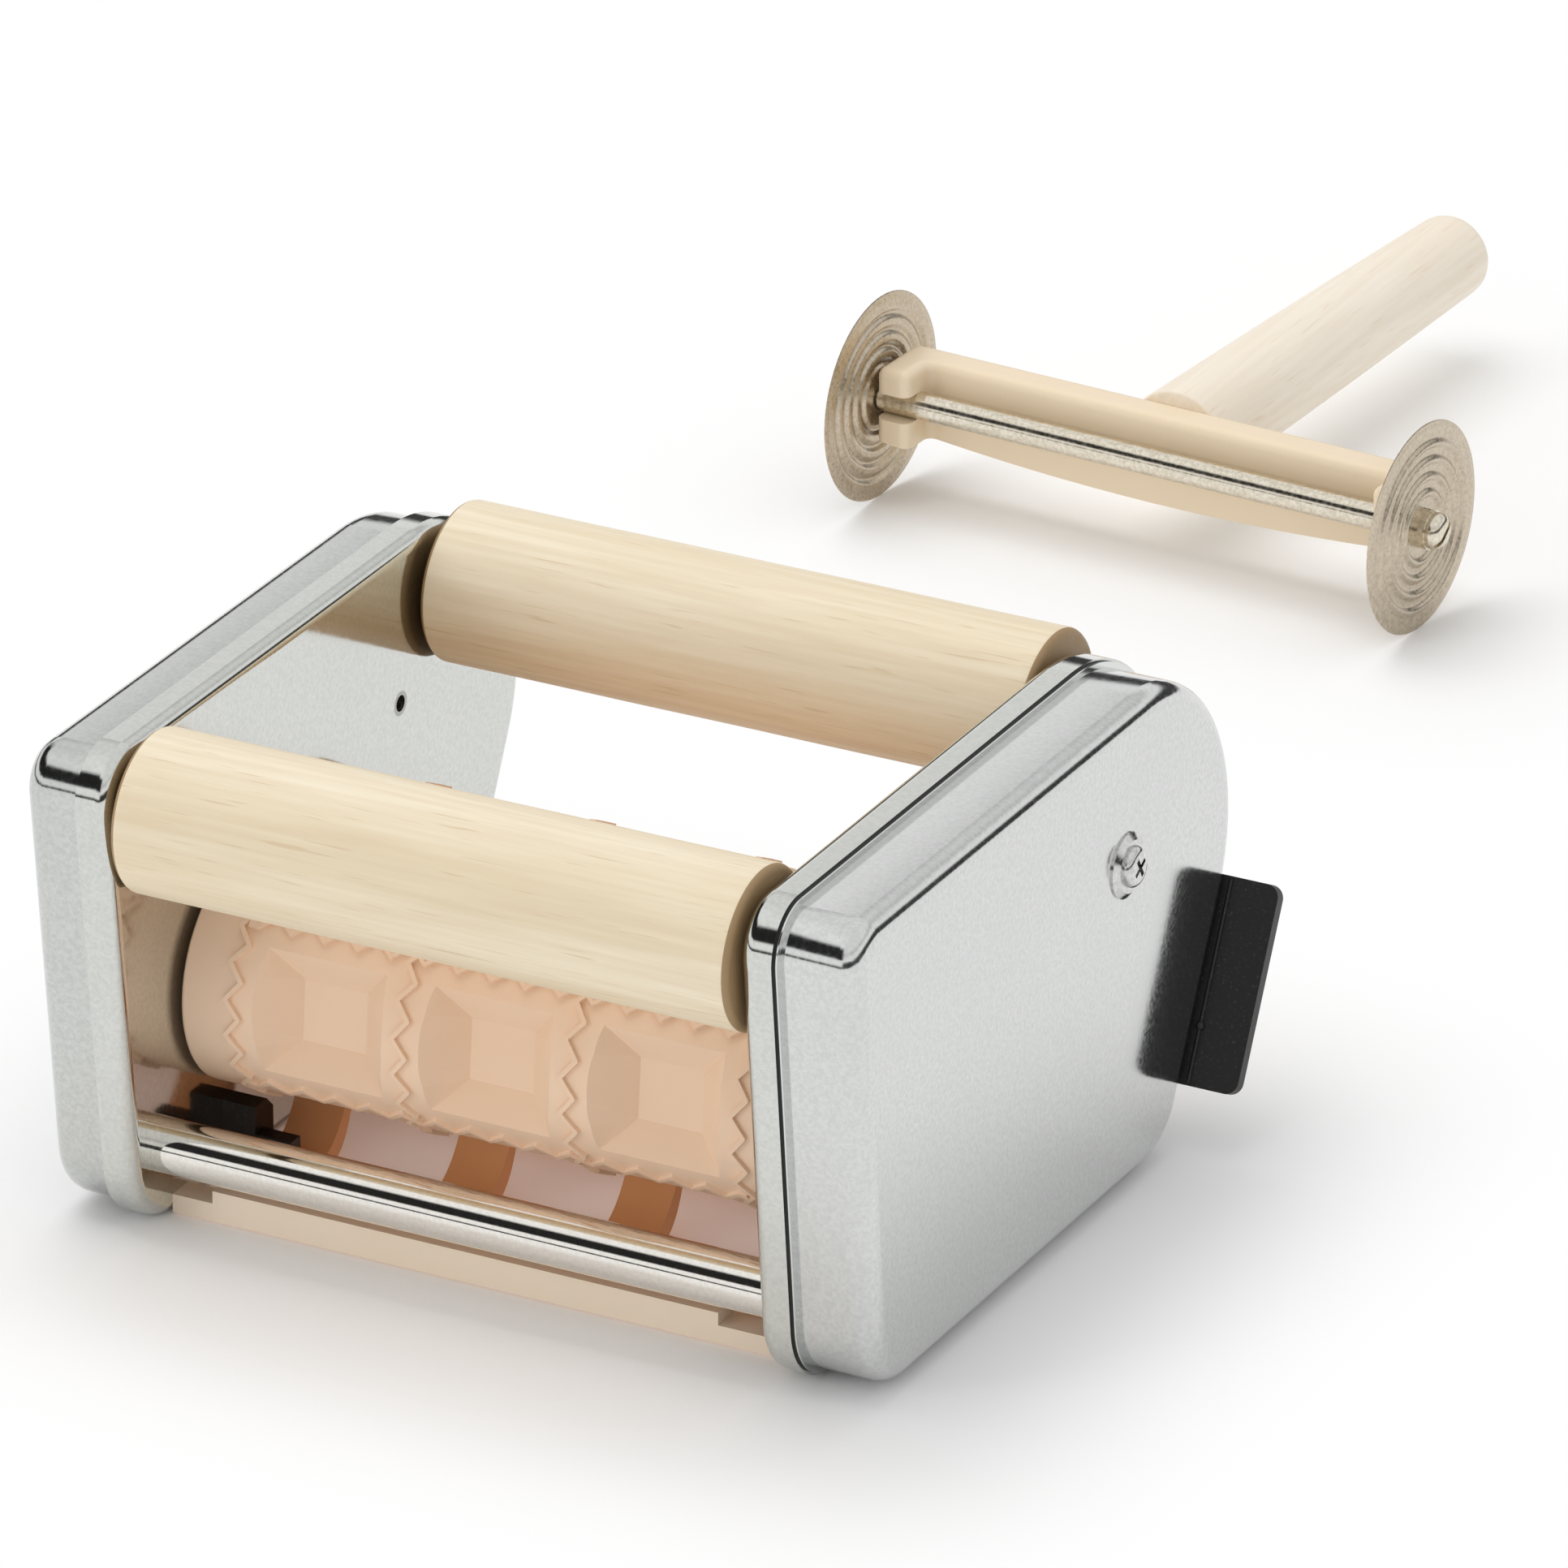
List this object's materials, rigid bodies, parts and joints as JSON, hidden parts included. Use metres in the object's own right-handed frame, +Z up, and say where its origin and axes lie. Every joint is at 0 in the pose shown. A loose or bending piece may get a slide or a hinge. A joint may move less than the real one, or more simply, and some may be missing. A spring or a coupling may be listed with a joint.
{
  "type": "ravioli roller attachment",
  "caption": "Ravioli roller attachment with mould drums and wooden guide rollers between chromed sides, and a two-wheel dough cutter standing behind it.",
  "frame": {"origin": "on the table, under the middle of the box around the machine and the cutter", "axes": "+X along the rollers, to the right seen from the front; +Y to the rear, from the machine to the cutter; +Z up"},
  "size_m": [0.2406, 0.5872, 0.1192],
  "materials": {
    "chrome_frame": "polished",
    "satin_cover": "satin",
    "seal": "matt",
    "roller_wood": "fine sanded",
    "bright_steel": "polished",
    "plain_steel": "turned",
    "mould_plastic": "matt",
    "bush_plastic": "matt",
    "comb_plastic": "matt",
    "black_plastic": "satin",
    "handle_wood": "fine sanded",
    "yoke_plastic": "satin",
    "axle_steel": "turned",
    "wheel_steel": "pressed"
  },
  "bodies": {
    "frame": {"left_side_frame": "chrome_frame", "right_side_frame": "chrome_frame", "left_cover": "satin_cover", "right_cover": "satin_cover", "left_seal": "seal", "right_seal": "seal", "cover_posts": "plain_steel", "cover_screws": "bright_steel", "cup_washers": "bright_steel", "left_wing": "black_plastic", "right_wing": "black_plastic", "roller_pins": "bright_steel", "front_tie_rod": "bright_steel", "rear_tie_rod": "bright_steel", "tie_rod_screws": "bright_steel", "drum_bushes": "bush_plastic", "front_comb": "comb_plastic", "rear_comb": "comb_plastic", "comb_clips": "black_plastic"},
    "front_roller_body": {"front_roller": "roller_wood"},
    "rear_roller_body": {"rear_roller": "roller_wood"},
    "front_drum_body": {"front_drum": "mould_plastic", "front_shaft": "plain_steel", "front_gear": "plain_steel", "front_shaft_clip": "plain_steel", "crank_coupling": "plain_steel"},
    "rear_drum_body": {"rear_drum": "mould_plastic", "rear_shaft": "plain_steel", "rear_gear": "plain_steel", "rear_shaft_clips": "plain_steel"},
    "cutter": {"cutter_handle": "handle_wood", "cutter_yoke": "yoke_plastic", "cutter_tube": "axle_steel"},
    "cutter_wheels": {"cutter_spindle": "axle_steel", "cutter_left_wheel": "wheel_steel", "cutter_right_wheel": "wheel_steel", "cutter_nuts": "axle_steel"}
  },
  "joints": [
    {"name": "front_drum_spin", "type": "hinge", "parent": "frame", "child": "front_drum_body", "pos_m": [0.00512, -0.23823, 0.049], "axis": [1, 0, 0], "continuous": true},
    {"name": "rear_drum_spin", "type": "hinge", "parent": "frame", "child": "rear_drum_body", "pos_m": [0.00512, -0.18418, 0.04284], "axis": [1, 0, 0], "continuous": true},
    {"name": "front_roller_spin", "type": "hinge", "parent": "frame", "child": "front_roller_body", "pos_m": [0.00512, -0.27533, 0.1009], "axis": [1, 0, 0], "continuous": true},
    {"name": "rear_roller_spin", "type": "hinge", "parent": "frame", "child": "rear_roller_body", "pos_m": [0.00512, -0.14013, 0.1009], "axis": [1, 0, 0], "continuous": true},
    {"name": "cutter_lift", "type": "slide", "parent": "frame", "child": "cutter", "axis": [0, 0, 1], "range_m": [0, 0.15]},
    {"name": "cutter_wheel_spin", "type": "hinge", "parent": "cutter", "child": "cutter_wheels", "pos_m": [-0.03928, 0.14257, 0.026], "axis": [0.9979, -0.0652, 0], "continuous": true}
  ],
  "couplings": [
    {"joint": "rear_drum_spin", "follows": "front_drum_spin", "ratio": -1}
  ]
}
